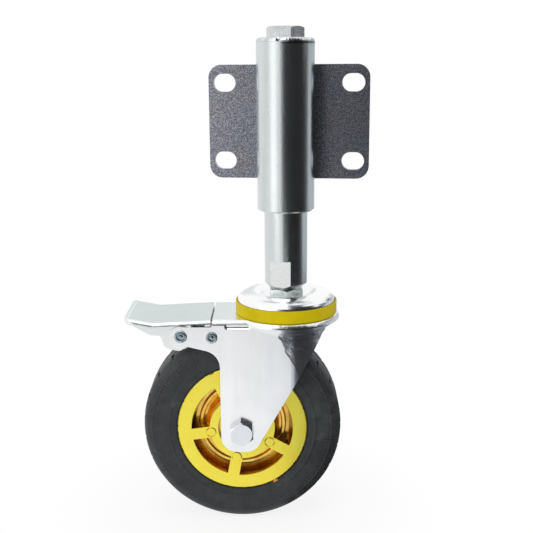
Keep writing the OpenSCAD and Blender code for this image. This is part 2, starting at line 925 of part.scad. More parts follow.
// Half of the rim's section on one side, from the hub bore out to the tyre seat
module rim_half_section() {
    bore = bearing_r - 1.5;
    web_w = 7;
    polygon([
        [bore, 0],
        [bore, bearing_in],
        [bearing_r, bearing_in],
        [bearing_r, recess_w],
        [hub_recess_r, recess_w],
        [hub_recess_r, rim_half - 0.5],
        [hub_recess_r + 0.5, rim_half],
        [hub_r, rim_half],
        [hub_r + 0.6, rim_half - 6],
        [hub_r + 2.8, web_w + 0.6],
        [hub_r + 4.2, web_w + 0.8],
        [hub_r + 5, web_w + 2.6],
        [hub_r + 6.4, web_w + 2.6],
        [hub_r + 7.4, web_w],
        [rim_inner_r - 2, web_w],
        [rim_inner_r - 0.8, rim_half - 6],
        [rim_inner_r, rim_half],
        [rim_r - 0.7, rim_half],
        [rim_r, rim_half - 0.7],
        [rim_r, rim_half - 3 + seat_gap],
        [rim_seat_r, rim_half - 3 + seat_gap],
        [rim_seat_r, 0]
    ]);
}

// Spokes of one side, flush with the rim's face, with a round boss on each inner end
module rim_spokes() {
    first_turn = 45;
    for (i = [0:spokes - 1])
        rotate([0, 0, first_turn + 360 * i / spokes]) {
            translate([hub_r - 1.5, -spoke_w / 2, 5])
                cube([rim_inner_r - hub_r + 3, spoke_w, rim_half - 5]);
            translate([hub_r - 0.8, 0, 5]) cylinder(r = 2.8, h = rim_half - 5 + 0.3);
        }
}

module rim() {
    wheel_turn = -1.7;
    color("gold")
        at_axle()
            rotate([0, 0, wheel_turn]) {
                rotate_extrude() {
                    rim_half_section();
                    mirror([0, 1]) rim_half_section();
                }
                rim_spokes();
                mirror([0, 0, 1]) rim_spokes();
            }
}

// A strip of the pedal from one side-view point to the next, with its long edges turned down
module pedal_strip(from, to) {
    run = to - from;
    translate([from.x, 0, from.y])
        rotate([0, -atan2(run.y, run.x), 0])
            rotate([90, 0, 90])
                linear_extrude(norm(run))
                    polygon(rounded([
                        [-pedal_half, -pedal_lip, 0],
                        [-pedal_half, 0, pedal_t],
                        [pedal_half, 0, pedal_t],
                        [pedal_half, -pedal_lip, 0],
                        [pedal_half - pedal_t, -pedal_lip, 0],
                        [pedal_half - pedal_t, -pedal_t, 0],
                        [pedal_t - pedal_half, -pedal_t, 0],
                        [pedal_t - pedal_half, -pedal_lip, 0]
                    ]));
}

// Side wall of the pedal: shallow at the toe, deep round the pivot
module pedal_wall_outline() {
    toe_x = pedal_tip.x + 3;
    polygon(rounded([
        [toe_x, pedal_tip.y - 1.5, 0],
        [toe_x, pedal_tip.y - 4.2, 0],
        [pedal_bend.x - 2, pedal_bend.y - 7.9, 6],
        [pedal_x - 12.4, pedal_z - 0.2, 2],
        [pedal_x - 10.4, pedal_z - 7.8, 4],
        [pedal_x - 1.2, pedal_z - 10.2, 4],
        [pedal_x + 7.3, pedal_z - 4.6, 4],
        [pedal_x + 7.3, pedal_start.y - 1.5, 0],
        [pedal_bend.x, pedal_bend.y - 1.5, 0]
    ]));
}

module brake_pedal() {
    toe_corner = 6;
    notch_len = 8.5;
    notch_h = 1;
    color("lightsteelblue")
        at_fork()
            difference() {
                union() {
                    intersection() {
                        union() {
                            pedal_strip(pedal_bend, pedal_start);
                            pedal_strip(pedal_tip, pedal_bend);
                            translate([pedal_tip.x + 1.2, 0, pedal_tip.y - 1.7])
                                rotate([90, 0, 0]) cylinder(r = 1.7, h = pedal_w - eps, center = true);
                        }
                        translate([0, 0, fork_top_z - far])
                            linear_extrude(2 * far)
                                polygon(rounded([
                                    [pedal_tip.x - 0.5, -pedal_half, toe_corner],
                                    [pedal_start.x, -pedal_half, 0],
                                    [pedal_start.x, pedal_half, 0],
                                    [pedal_tip.x - 0.5, pedal_half, toe_corner]
                                ]));
                    }
                    both_sides()
                        translate([0, (wall_in + wall_out) / 2, 0])
                            side_extrude(wall_out - wall_in) pedal_wall_outline();
                }
                // The turned-down edges clear the fork's ears as the pedal tips
                both_sides()
                    translate([pedal_x, wall_out + 0.1, pedal_z])
                        rotate([-90, 0, 0]) cylinder(r = ear_r + 2 * side_gap, h = far);
                // A short notch in each turned-down edge, between the two rivets
                both_sides()
                    translate([slit_x - 4.5 - notch_len, wall_out + 0.1, pedal_start.y - pedal_lip - 1])
                        cube([notch_len, half_w, 1 + notch_h]);
                translate([pedal_x, 0, pedal_z])
                    rotate([90, 0, 0]) cylinder(r = rivet_r + run_gap, h = fork_w, center = true);
            }
}

// The leaf under the pedal: it hangs on two cheeks and carries the nose that grips the tyre
module brake_shoe() {
    cheek_r = 5;
    cheek_in = wall_out - leaf_t;
    leaf_low_z = leaf_top_z - leaf_t;
    nose_x_mid = shoe_x - 13.6;
    color("slategray")
        at_fork()
            difference() {
                union() {
                    translate([leaf_end_x, -leaf_half, leaf_low_z])
                        cube([shoe_x + 4 - leaf_end_x, 2 * leaf_half, leaf_t]);
                    translate([shoe_x - cheek_r, -wall_out, leaf_low_z])
                        cube([cheek_r + 4, 2 * wall_out, leaf_t]);
                    translate([nose_x_mid - leaf_t / 2, -leaf_half + 1, leaf_low_z - nose_reach])
                        cube([leaf_t, 2 * leaf_half - 2, nose_reach + eps]);
                    both_sides()
                        translate([0, (wall_out + cheek_in) / 2, 0])
                            side_extrude(leaf_t)
                                union() {
                                    translate([shoe_x, shoe_z]) circle(r = cheek_r);
                                    translate([shoe_x - cheek_r, shoe_z])
                                        square([cheek_r + 4, leaf_low_z + eps - shoe_z]);
                                }
                }
                translate([shoe_x, 0, shoe_z])
                    rotate([90, 0, 0]) cylinder(r = rivet_r + run_gap, h = fork_w, center = true);
            }
}

mount_plate();
plate_welds();
outer_tube();
top_cap();
cap_weld();
guide_bush();
coil_spring();
stem_tube();
spring_seat();
guide_bolt();
stem_plug();
stem_nut();
kingpin();
swivel_cap();
kingpin_sleeve();
bottom_cup();
lower_balls();
fork();
dust_ring();
upper_balls();
axle_bolt();
axle_nut();
axle_sleeve();
side_spacers();
bearing_inner_rings();
pedal_rivets();
shoe_rivets();
tyre();
rim();
bearing_outer_rings();
bearing_balls();
brake_pedal();
brake_shoe();
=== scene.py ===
import json
import math

import bpy
from mathutils import Matrix, Vector, noise


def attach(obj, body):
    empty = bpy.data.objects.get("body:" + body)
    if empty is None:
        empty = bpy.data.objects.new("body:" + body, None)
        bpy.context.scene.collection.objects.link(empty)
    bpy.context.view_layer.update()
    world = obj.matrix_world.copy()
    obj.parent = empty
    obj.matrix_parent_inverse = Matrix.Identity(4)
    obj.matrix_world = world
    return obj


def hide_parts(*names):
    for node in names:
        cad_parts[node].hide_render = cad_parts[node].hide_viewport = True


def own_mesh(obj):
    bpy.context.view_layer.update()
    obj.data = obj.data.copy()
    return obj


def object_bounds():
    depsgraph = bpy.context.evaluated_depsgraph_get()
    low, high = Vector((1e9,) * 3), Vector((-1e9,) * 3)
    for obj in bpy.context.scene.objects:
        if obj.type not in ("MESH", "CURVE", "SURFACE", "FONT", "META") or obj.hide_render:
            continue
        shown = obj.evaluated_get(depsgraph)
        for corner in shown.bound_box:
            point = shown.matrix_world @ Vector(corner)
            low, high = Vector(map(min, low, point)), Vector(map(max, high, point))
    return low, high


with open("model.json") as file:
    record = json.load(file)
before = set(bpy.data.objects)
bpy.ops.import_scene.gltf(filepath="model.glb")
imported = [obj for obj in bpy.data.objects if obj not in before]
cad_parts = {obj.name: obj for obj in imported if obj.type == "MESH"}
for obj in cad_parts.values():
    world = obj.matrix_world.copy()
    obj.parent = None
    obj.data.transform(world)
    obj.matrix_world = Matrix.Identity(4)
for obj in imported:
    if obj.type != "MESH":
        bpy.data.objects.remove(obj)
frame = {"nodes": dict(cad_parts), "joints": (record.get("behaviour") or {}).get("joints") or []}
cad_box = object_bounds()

MM = 0.001
UP = Vector((0, 0, 1))
RIGHT = Vector((1, 0, 0))

# Places of the tube and the wheel, from the joints. ACROSS points along the axle towards the camera's side,
# and ALONG, which is level too, to the right.

JOINTS = {joint["name"]: joint for joint in frame["joints"]}
AXLE = Vector(JOINTS["wheel_spin"]["pos_m"])
ACROSS = -Vector(JOINTS["wheel_spin"]["axis"])
ALONG = UP.cross(ACROSS)
TUBE = Vector((*JOINTS["swivel"]["pos_m"][:2], 0))


# Camera at the photograph's place

PHOTO_PX = 533
FOCAL_PX = 900
SENSOR_MM = 36
CAMERA_AT = Vector((57.3, -566.2, 38.2)) * MM
CAMERA_AIM = Vector((-0.1235, 0.9666, -0.2246))
CAMERA_ROLL = math.radians(0.445)


def make_camera():
    """The camera, with its lens worked out from the photo's focal length in pixels."""
    forward = CAMERA_AIM.normalized()
    side = forward.cross(UP).normalized()
    rise = side.cross(forward)
    right = side * math.cos(CAMERA_ROLL) - rise * math.sin(CAMERA_ROLL)
    up = side * math.sin(CAMERA_ROLL) + rise * math.cos(CAMERA_ROLL)
    data = bpy.data.cameras.new("camera")
    data.sensor_width = SENSOR_MM
    data.lens = FOCAL_PX * SENSOR_MM / PHOTO_PX
    data.clip_start, data.clip_end = 0.01, 50
    camera = bpy.data.objects.new("camera", data)
    bpy.context.scene.collection.objects.link(camera)
    turn = Matrix((right, up, -forward)).transposed().to_4x4()
    camera.matrix_world = Matrix.Translation(CAMERA_AT) @ turn
    bpy.context.scene.camera = camera


make_camera()


# Node helpers

class Nodes:
    """A node tree, with short calls for the nodes used here."""

    # Places of a Mix node's colour sockets
    MIX_UNDER, MIX_OVER, MIX_OUT = 6, 7, 2

    def __init__(self, tree):
        self.tree = tree

    def put(self, socket, value):
        if isinstance(value, bpy.types.NodeSocket):
            self.tree.links.new(value, socket)
        else:
            socket.default_value = value

    def math(self, kind, a, b=0.0):
        node = self.tree.nodes.new("ShaderNodeMath")
        node.operation = kind
        self.put(node.inputs[0], a)
        self.put(node.inputs[1], b)
        return node.outputs[0]

    def plus(self, a, b):
        return self.math("ADD", a, b)

    def minus(self, a, b):
        return self.math("SUBTRACT", a, b)

    def times(self, a, b):
        return self.math("MULTIPLY", a, b)

    def hypot(self, a, b):
        return self.math("SQRT", self.plus(self.times(a, a), self.times(b, b)))

    def vector(self, kind, a, b=(0, 0, 0)):
        node = self.tree.nodes.new("ShaderNodeVectorMath")
        node.operation = kind
        self.put(node.inputs[0], a)
        self.put(node.inputs[1], b)
        return node.outputs["Value"] if kind in ("DOT_PRODUCT", "LENGTH", "DISTANCE") else node.outputs[0]

    def span(self, value, low, high, to_low=0.0, to_high=1.0, smooth=False):
        """A value's place between low and high, as a number from to_low to to_high."""
        node = self.tree.nodes.new("ShaderNodeMapRange")
        node.interpolation_type = "SMOOTHSTEP" if smooth else "LINEAR"
        self.put(node.inputs["Value"], value)
        for key, v in (("From Min", low), ("From Max", high), ("To Min", to_low), ("To Max", to_high)):
            node.inputs[key].default_value = v
        return node.outputs["Result"]

    def near(self, value, at, full, gone, smooth=False):
        """1 where a value is within full of at, and 0 where it is gone or more away."""
        return self.span(self.math("ABSOLUTE", self.minus(value, at)), full, gone, 1, 0, smooth)

    def ramp(self, value, *stops):
        node = self.tree.nodes.new("ShaderNodeValToRGB")
        self.put(node.inputs["Fac"], value)
        while len(node.color_ramp.elements) < len(stops):
            node.color_ramp.elements.new(0.5)
        for element, (at, colour) in zip(node.color_ramp.elements, stops):
            element.position = at
            element.color = (*colour, 1)
        return node.outputs["Color"]

    def mix(self, amount, under, over, kind="MIX"):
        """A colour laid over another one, which is a socket."""
        node = self.tree.nodes.new("ShaderNodeMix")
        node.data_type, node.blend_type = "RGBA", kind
        self.put(node.inputs[0], amount)
        self.put(node.inputs[self.MIX_UNDER], under)
        self.put(node.inputs[self.MIX_OVER], (*over, 1) if isinstance(over, tuple) else over)
        return node.outputs[self.MIX_OUT]

    def blend(self, amount, a, b):
        """A mix of two shader nodes."""
        node = self.tree.nodes.new("ShaderNodeMixShader")
        for socket, value in zip(node.inputs, (amount, a.outputs[0], b.outputs[0])):
            self.put(socket, value)
        return node.outputs[0]


class Skin(Nodes):
    """A material, with its shader and the point on the object that is being coloured."""

    def __init__(self, name):
        self.material = bpy.data.materials.new(name)
        self.material.use_nodes = True
        super().__init__(self.material.node_tree)
        self.shader = self.tree.nodes["Principled BSDF"]
        self.point = self.tree.nodes.new("ShaderNodeTexCoord").outputs["Object"]

    def set(self, name, value):
        self.put(self.shader.inputs[name], value)

    def tint(self, amount, colour):
        """Lay a colour over the base colour so far."""
        under = self.shader.inputs["Base Color"].links[0].from_socket
        self.set("Base Color", self.mix(amount, under, colour))

    def along(self, axis, point=None):
        """How far the point lies along an axis."""
        return self.vector("DOT_PRODUCT", point or self.point, axis)

    def noise(self, scale, detail, rough=0.55, point=None):
        node = self.tree.nodes.new("ShaderNodeTexNoise")
        self.put(node.inputs["Vector"], point or self.point)
        self.put(node.inputs["Scale"], scale)
        self.put(node.inputs["Detail"], detail)
        self.put(node.inputs["Roughness"], rough)
        return node.outputs["Fac"]

    def streaks(self, scale, detail, rough, squeeze):
        """Noise drawn out into upright bands."""
        return self.noise(scale, detail, rough, self.vector("MULTIPLY", self.point, (1, 1, squeeze)))

    def dots(self, scale, full, gone):
        """Small round specks."""
        node = self.tree.nodes.new("ShaderNodeTexVoronoi")
        self.put(node.inputs["Vector"], self.point)
        self.put(node.inputs["Scale"], scale)
        return self.span(node.outputs["Distance"], full, gone, 1, 0)

    def bump(self, height, strength, distance):
        node = self.tree.nodes.new("ShaderNodeBump")
        node.inputs["Strength"].default_value = strength
        node.inputs["Distance"].default_value = distance
        self.put(node.inputs["Height"], height)
        self.set("Normal", node.outputs["Normal"])

    def wheel_place(self):
        """The point's radius, angle and side distance round the axle."""
        p = self.vector("SUBTRACT", self.point, AXLE)
        x = self.along(ALONG, p)
        z = self.along(UP, p)
        return self.hypot(x, z), self.math("ARCTAN2", z, x), self.along(ACROSS, p)


# Materials. Lengths in them are in metres.

def zinc_skin(name, tone, spread, rough, grain, size=1500, blotch=35, bands=0.0, relief=0.00004):
    """Zinc plate: a fine crystal grain, soft clouds, and upright bands on a drawn tube."""
    g = Skin(name)
    fine = g.noise(size, 2)
    soft = g.noise(blotch, 3)
    level = g.plus(g.times(fine, 0.5), g.times(soft, 0.5))
    if bands:
        drawn = g.streaks(230, 2, 0.5, squeeze=0.03)
        level = g.plus(g.times(level, 1 - bands), g.times(drawn, bands))
    low = tuple(c * (1 - spread) for c in tone)
    high = tuple(min(1.0, c * (1 + spread)) for c in tone)
    g.set("Base Color", g.ramp(level, (0.35, low), (0.65, high)))
    g.set("Metallic", 1.0)
    g.set("Roughness", g.span(level, 0.35, 0.65, *rough))
    g.bump(fine, grain, relief)
    return g


def zinc(name, tone, **finish):
    """The zinc material by itself."""
    return zinc_skin(name, tone, **finish).material


DRAWN_GRAIN = {"grain": 0.8, "size": 950, "relief": 0.00012}


def tube_metal(name):
    """The outer tube: drawn zinc, with a line of painted shade just under the lid's bead, on its right
    side.
    """
    g = zinc_skin(name, (0.645, 0.685, 0.680), spread=0.09, rough=(0.16, 0.24), bands=0.6, **DRAWN_GRAIN)
    line_z, line_x = (0.0466, 0.0474), (-0.002, 0.003)
    bead_shade = g.span(g.along(UP), *line_z)
    to_the_right = g.span(g.along(RIGHT), *line_x)
    # Painted shade: a dark bluish band just under the bead's foot, right of the tube's middle.
    g.tint(g.times(g.times(bead_shade, to_the_right), 0.85), (0.03, 0.05, 0.08))
    return g.material


def stem_metal(name):
    """The stem: drawn zinc, brighter on the two milled flats, which lie nearer its axis."""
    g = zinc_skin(name, (0.63, 0.67, 0.665), spread=0.06, rough=(0.16, 0.23), bands=0.4, **DRAWN_GRAIN)
    flat_r, flat_top_z = (0.01305, 0.01315), (-0.0834, -0.0830)
    from_axis = g.vector("MULTIPLY", g.vector("SUBTRACT", g.point, TUBE), (1, 1, 0))
    milled = g.span(g.vector("LENGTH", from_axis), *flat_r, 1, 0)
    below_step = g.span(g.along(UP), *flat_top_z, 1, 0)
    g.tint(g.times(milled, below_step), (0.69, 0.705, 0.70))
    return g.material


def weld_metal(name):
    """A welded bead: bright, uneven, with one near-black spot in the lid's bead, at the stop mark's dent.
    """
    pit_at, pit_r, ragged = (-0.0026, -0.0381, 0.0490), (0.0012, 0.0019), 0.0008
    g = Skin(name)
    soft = g.noise(220, 4)
    fine = g.noise(1400, 3)
    from_pit = g.plus(g.vector("DISTANCE", g.point, pit_at), g.times(fine, ragged))
    pit = g.span(from_pit, *pit_r, 1, 0)
    tone = g.ramp(soft, (0.35, (0.50, 0.54, 0.55)), (0.65, (0.80, 0.83, 0.84)))
    g.set("Base Color", g.mix(pit, tone, (0.012, 0.012, 0.014)))
    g.set("Metallic", 1.0)
    g.set("Roughness", g.span(soft, 0.3, 0.7, 0.32, 0.2))
    g.bump(g.plus(soft, g.times(fine, 0.3)), 0.3, 0.0002)
    return g.material


def plate_metal(name):
    """The plate's darker skin, with a fine grey and blue grain."""
    g = Skin(name)
    grain = g.noise(1300, 5, 0.8)
    wide = g.noise(60, 3)
    dark, middle, light = (0.13, 0.135, 0.16), (0.30, 0.305, 0.345), (0.62, 0.625, 0.68)
    tone = g.ramp(grain, (0.41, dark), (0.5, middle), (0.59, light))
    warm = g.ramp(wide, (0.35, (0.90, 0.93, 1.0)), (0.65, (1.0, 0.96, 0.93)))
    g.set("Base Color", g.mix(0.8, tone, warm, "MULTIPLY"))
    g.set("Metallic", 1.0)
    g.set("Roughness", g.span(grain, 0.3, 0.7, 0.38, 0.27))
    g.bump(grain, 0.45, 0.00012)
    return g.material


def past_bend(g):
    """How far the point lies past the nose's bend, a ragged line that runs outwards as it goes down."""
    bend_z, slope, set_back, ragged = -0.127, 0.5, 0.005, 0.006
    ahead = g.along(ALONG, g.vector("SUBTRACT", g.point, TUBE))
    drop = g.minus(bend_z, g.along(UP))
    past = g.minus(ahead, g.minus(g.times(drop, slope), set_back))
    return g.plus(past, g.times(g.minus(g.noise(120, 4), 0.5), ragged))


def fork_metal(name):
    """Bright satin zinc, with faint upright bands from the press and a wavy skin on the bent nose."""
    g = Skin(name)
    bands = g.streaks(110, 3, 0.6, squeeze=0.12)
    fine = g.noise(1500, 3)
    soft = g.noise(38, 3)
    level = g.plus(g.times(bands, 0.4), g.times(soft, 0.6))
    g.set("Base Color", g.ramp(level, (0.3, (0.88, 0.90, 0.91)), (0.7, (0.96, 0.97, 0.975))))
    g.set("Metallic", 1.0)
    g.set("Roughness", g.span(level, 0.3, 0.7, 0.26, 0.20))
    wave_start, wave_height, tilt = (0.0, 0.006), 3.0, -1500
    past = past_bend(g)
    waves = g.times(g.noise(190, 5, 0.65), g.span(past, *wave_start, 0, wave_height, smooth=True))
    height = g.plus(g.times(fine, 0.12), g.plus(g.times(soft, 0.8), waves))
    g.bump(g.plus(height, g.times(g.math("MAXIMUM", past, 0.0), tilt)), 0.3, 0.00025)
    return g.material


def rubber(name):
    """Tyre rubber: moulded rings and fine radial ribs on the sides, with painted shade in the ribs' grooves
    and next to the rim, scuffs and dust.
    """
    rib_count = 162
    ribs_start, ribs_end = (0.0500, 0.0535), (0.0588, 0.0600)
    outer_ring_r, inner_ring_r = 0.0566, 0.0462
    wall_side = (0.0145, 0.0168)
    rim_gap = (0.0411, 0.0422)
    g = Skin(name)
    r, turn, side = g.wheel_place()
    wall = g.span(g.math("ABSOLUTE", side), *wall_side, smooth=True)
    ribbed = g.times(g.span(r, *ribs_start, smooth=True), g.span(r, *ribs_end, 1, 0, smooth=True))
    ribs = g.span(g.math("SINE", g.times(turn, rib_count)), -0.2, 0.9)
    ribs = g.times(ribs, g.span(g.noise(260, 3), 0.42, 0.58))
    ribs = g.times(g.times(ribs, ribbed), wall)
    outer_ring = g.near(r, outer_ring_r, 0.0003, 0.0009, smooth=True)
    inner_ring = g.near(r, inner_ring_r, 0.0003, 0.0010, smooth=True)
    rings = g.times(g.plus(outer_ring, g.times(inner_ring, 0.7)), wall)
    fine = g.noise(2400, 3)
    scuff = g.noise(90, 6, 0.7)
    dust = g.times(g.dots(210, 0.05, 0.075), g.span(g.noise(35, 2), 0.5, 0.62))
    black, grey, pale = (0.029, 0.034, 0.036), (0.054, 0.060, 0.063), (0.125, 0.13, 0.13)
    tone = g.ramp(scuff, (0.35, black), (0.62, grey), (0.8, pale))
    worn = g.ramp(g.noise(24, 3), (0.35, (0.68, 0.68, 0.68)), (0.65, (1.0, 1.0, 1.0)))
    tone = g.mix(1.0, tone, worn, "MULTIPLY")
    # Painted shade: the rib grooves are darkened towards black.
    tone = g.mix(g.times(ribs, 0.4), tone, (0.010, 0.011, 0.012))
    tone = g.mix(g.times(dust, 0.35), tone, (0.22, 0.22, 0.21))
    # Painted shade: a near-black band on the tyre where it meets the rim's edge.
    gap_shade = g.span(r, *rim_gap, 0.95, 0, smooth=True)
    g.set("Base Color", g.mix(gap_shade, tone, (0.004, 0.004, 0.004)))
    g.set("Roughness", g.span(scuff, 0.3, 0.7, 0.42, 0.6))
    g.set("Specular IOR Level", 0.35)
    height = g.plus(g.times(ribs, -0.35), g.times(rings, 0.8))
    height = g.plus(height, g.times(fine, 0.12))
    g.bump(g.plus(height, g.times(scuff, 0.3)), 0.7, 0.0004)
    return g.material


def pin_rings(g, r, turn):
    """Thin broken rings on the rim's face, one on each spoke: a groove whose dark line is painted shade."""
    spokes, pin_r, ring_r = 5, 0.0197, 0.00295
    first_pin = math.radians(43.3)
    step = math.tau / spokes
    local = g.math("PINGPONG", g.plus(turn, step * 2 - first_pin), step / 2)
    out = g.minus(g.times(r, g.math("COSINE", local)), pin_r)
    beside = g.times(r, g.math("SINE", local))
    ring = g.near(g.hypot(out, beside), ring_r, 0.00012, 0.00036)
    return g.times(ring, g.span(g.noise(330, 2), 0.40, 0.52))


def yellow_paint(g, r, ring, soft):
    """Paint on the rim's flat faces: specks, pin rings, chips of wear at the outer edge, and an even band
    of painted shade along it.
    """
    chip_edge, edge_shade_r = (0.0399, 0.0406), (0.0402, 0.0409)
    paint = g.ramp(soft, (0.3, (1.0, 0.80, 0.075)), (0.7, (1.0, 0.90, 0.115)))
    specks = g.times(g.dots(190, 0.05, 0.08), g.span(g.noise(80, 2), 0.52, 0.6))
    paint = g.mix(g.times(specks, 0.6), paint, (0.40, 0.24, 0.03))
    # Painted shade: the pin rings' grooves drawn as dark lines.
    paint = g.mix(g.times(ring, 0.9), paint, (0.14, 0.08, 0.02))
    chips = g.times(g.span(r, *chip_edge), g.span(g.noise(260, 3), 0.55, 0.60))
    # Painted shade: an even dark band along the rim's outer edge, laid with the worn chips in one colour.
    edge_shade = g.times(g.span(r, *edge_shade_r), 0.15)
    return g.mix(g.math("MAXIMUM", g.times(chips, 0.9), edge_shade), paint, (0.06, 0.045, 0.02))


def amber_metal_and_shade(g, r, depth):
    """The rim's hollows: amber, with painted shade towards the middle plane and at the outer wall."""
    shade_wall_r, shade_depth = (0.0285, 0.0305), (0.0040, 0.0130)
    brown, amber, yellow = (0.74, 0.43, 0.09), (0.97, 0.63, 0.13), (1.0, 0.82, 0.26)
    metal = g.ramp(g.noise(140, 4, 0.6), (0.3, brown), (0.55, amber), (0.75, yellow))
    # Painted shade: the wall and middle masks darken the amber at the outer wall and towards the middle
    # plane.
    wall = g.times(g.span(r, *shade_wall_r, smooth=True), g.span(g.noise(30, 2), 0.35, 0.6, 0.45, 0.95))
    middle = g.span(depth, *shade_depth, 0.3, 0.0, smooth=True)
    return g.mix(g.math("MAXIMUM", middle, g.times(wall, 0.7)), metal, (0.09, 0.055, 0.022))


def gold(name):
    """The rim: flat yellow faces, and glossy amber metal with painted shade in the hollows between them."""
    face_depth = (0.0166, 0.0172)
    g = Skin(name)
    r, turn, side = g.wheel_place()
    depth = g.math("ABSOLUTE", side)
    face = g.span(depth, *face_depth)
    ring = pin_rings(g, r, turn)
    soft = g.noise(60, 3)
    g.set("Base Color", g.mix(face, amber_metal_and_shade(g, r, depth), yellow_paint(g, r, ring, soft)))
    g.set("Metallic", g.span(face, 0, 1, 1, 0.8))
    g.set("Roughness", g.span(face, 0, 1, 0.2, 0.34))
    height = g.plus(g.times(soft, 0.5), g.times(g.noise(900, 3), 0.2))
    g.bump(g.minus(height, g.times(ring, 0.8)), 0.35, 0.0003)
    return g.material


def seal_plastic(name):
    """The matt yellow plastic of the dust ring."""
    g = Skin(name)
    soft = g.noise(50, 3)
    fine = g.noise(1600, 3)
    g.set("Base Color", g.ramp(soft, (0.3, (0.66, 0.52, 0.0004)), (0.7, (0.80, 0.63, 0.0008))))
    g.set("Roughness", g.span(fine, 0.3, 0.7, 0.40, 0.52))
    g.set("Specular IOR Level", 0.12)
    g.bump(g.plus(g.times(fine, 0.3), soft), 0.25, 0.0002)
    return g.material


def plain(name, low, high, rough, metallic=0.0, scale=90):
    """Soft clouds between two tones, with a fine grain."""
    g = Skin(name)
    soft = g.noise(scale, 4)
    fine = g.noise(scale * 14, 3)
    g.set("Base Color", g.ramp(soft, (0.3, low), (0.7, high)))
    g.set("Metallic", metallic)
    g.set("Roughness", g.span(soft, 0.3, 0.7, *rough))
    g.bump(g.plus(g.times(fine, 0.4), soft), 0.3, 0.0001)
    return g.material


ZINC_TUBE = tube_metal("zinc_tube")
ZINC_STEM = stem_metal("zinc_stem")
ZINC_CAP = zinc("zinc_cap", (0.95, 0.955, 0.96), spread=0.03, rough=(0.17, 0.23), grain=0.02)
ZINC_BOLT = zinc("zinc_bolt", (0.58, 0.60, 0.60), spread=0.2, rough=(0.2, 0.3), grain=0.06, blotch=220)
ZINC_AXLE = zinc("zinc_axle", (0.78, 0.81, 0.84), spread=0.06, rough=(0.2, 0.28), grain=0.04, blotch=90)
ZINC_NUT = zinc("zinc_nut", (0.62, 0.66, 0.66), spread=0.22, rough=(0.2, 0.34), grain=0.1, blotch=260)
ZINC_PEDAL = zinc("zinc_pedal", (0.84, 0.88, 0.875), spread=0.03, rough=(0.18, 0.26), grain=0.035)
ZINC_RIVET = zinc("zinc_rivet", (0.36, 0.43, 0.46), spread=0.6, rough=(0.14, 0.26), grain=0.12, blotch=520)
PLATE = plate_metal("plate_skin")
WELD = weld_metal("weld_skin")
FORK = fork_metal("fork_skin")
RUBBER = rubber("tyre_rubber_skin")
GOLD = gold("rim_gold")
SEAL = seal_plastic("seal_plastic")
NYLON = plain("nylon", (0.62, 0.60, 0.52), (0.74, 0.72, 0.66), rough=(0.35, 0.45))
SPRING = plain("spring_wire", (0.05, 0.052, 0.056), (0.12, 0.124, 0.13), rough=(0.28, 0.4), metallic=1.0)
BALL = plain(
    "ball_steel_skin", (0.70, 0.71, 0.72), (0.80, 0.81, 0.82), rough=(0.08, 0.14), metallic=1.0, scale=200
)
RACE = plain("race_steel", (0.48, 0.50, 0.52), (0.66, 0.68, 0.70), rough=(0.2, 0.3), metallic=1.0)
PAINT_CURL = plain("paint_curl", (0.62, 0.22, 0.02), (0.86, 0.42, 0.04), rough=(0.35, 0.5), scale=400)

SKINS = {
    "mount_plate": PLATE, "outer_tube": ZINC_TUBE, "top_cap": ZINC_CAP, "guide_bush": NYLON,
    "coil_spring": SPRING, "stem_tube": ZINC_STEM, "spring_seat": ZINC_NUT, "guide_bolt": ZINC_BOLT,
    "stem_plug": ZINC_NUT, "stem_nut": ZINC_NUT, "kingpin": ZINC_BOLT, "swivel_cap": ZINC_CAP,
    "kingpin_sleeve": RACE, "bottom_cup": ZINC_CAP, "lower_balls": BALL, "upper_balls": BALL,
    "fork": FORK, "dust_ring": SEAL, "axle_bolt": ZINC_AXLE, "axle_nut": ZINC_BOLT,
    "axle_sleeve": RACE, "side_spacers": RACE, "bearing_inner_rings": RACE, "bearing_outer_rings": RACE,
    "bearing_balls": BALL, "pedal_rivets": ZINC_RIVET, "shoe_rivets": ZINC_RIVET, "tyre": RUBBER,
    "rim": GOLD, "brake_pedal": ZINC_PEDAL, "brake_shoe": ZINC_PEDAL, "plate_welds": WELD, "cap_weld": WELD,
}
for node, skin in SKINS.items():
    for slot in frame["nodes"][node].material_slots:
        slot.material = skin


# Meshes. The beads' and the paint curl's numbers are in millimetres, and MM turns their points into metres.

def new_thing(name, points, faces, material):
    mesh = bpy.data.meshes.new(name)
    mesh.from_pydata([tuple(p) for p in points], [], faces)
    mesh.materials.append(material)
    thing = bpy.data.objects.new(name, mesh)
    bpy.context.scene.collection.objects.link(thing)
    return thing


def add_piece(name, body, skin, points, faces):
    piece = new_thing(name, points, faces, skin)
    for face in piece.data.polygons:
        face.use_smooth = True
    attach(piece, body)
    return piece


def skin_rings(rings, loop=False):
    """Points and faces of a tube through rings of points, closed on itself or capped."""
    sides, count = len(rings[0]), len(rings)
    points = [p for ring in rings for p in ring]
    faces = []
    for i in range(count if loop else count - 1):
        here, there = i * sides, (i + 1) % count * sides
        for k in range(sides):
            m = (k + 1) % sides
            faces.append((here + k, here + m, there + m, there + k))
    if not loop:
        faces.append(tuple(range(sides - 1, -1, -1)))
        faces.append(tuple((count - 1) * sides + k for k in range(sides)))
    return points, faces


def oval(centre, half_a, half_b, sides):
    """Points round an oval with two half axes."""
    turns = [k * math.tau / sides for k in range(sides)]
    return [centre + half_a * math.cos(t) + half_b * math.sin(t) for t in turns]


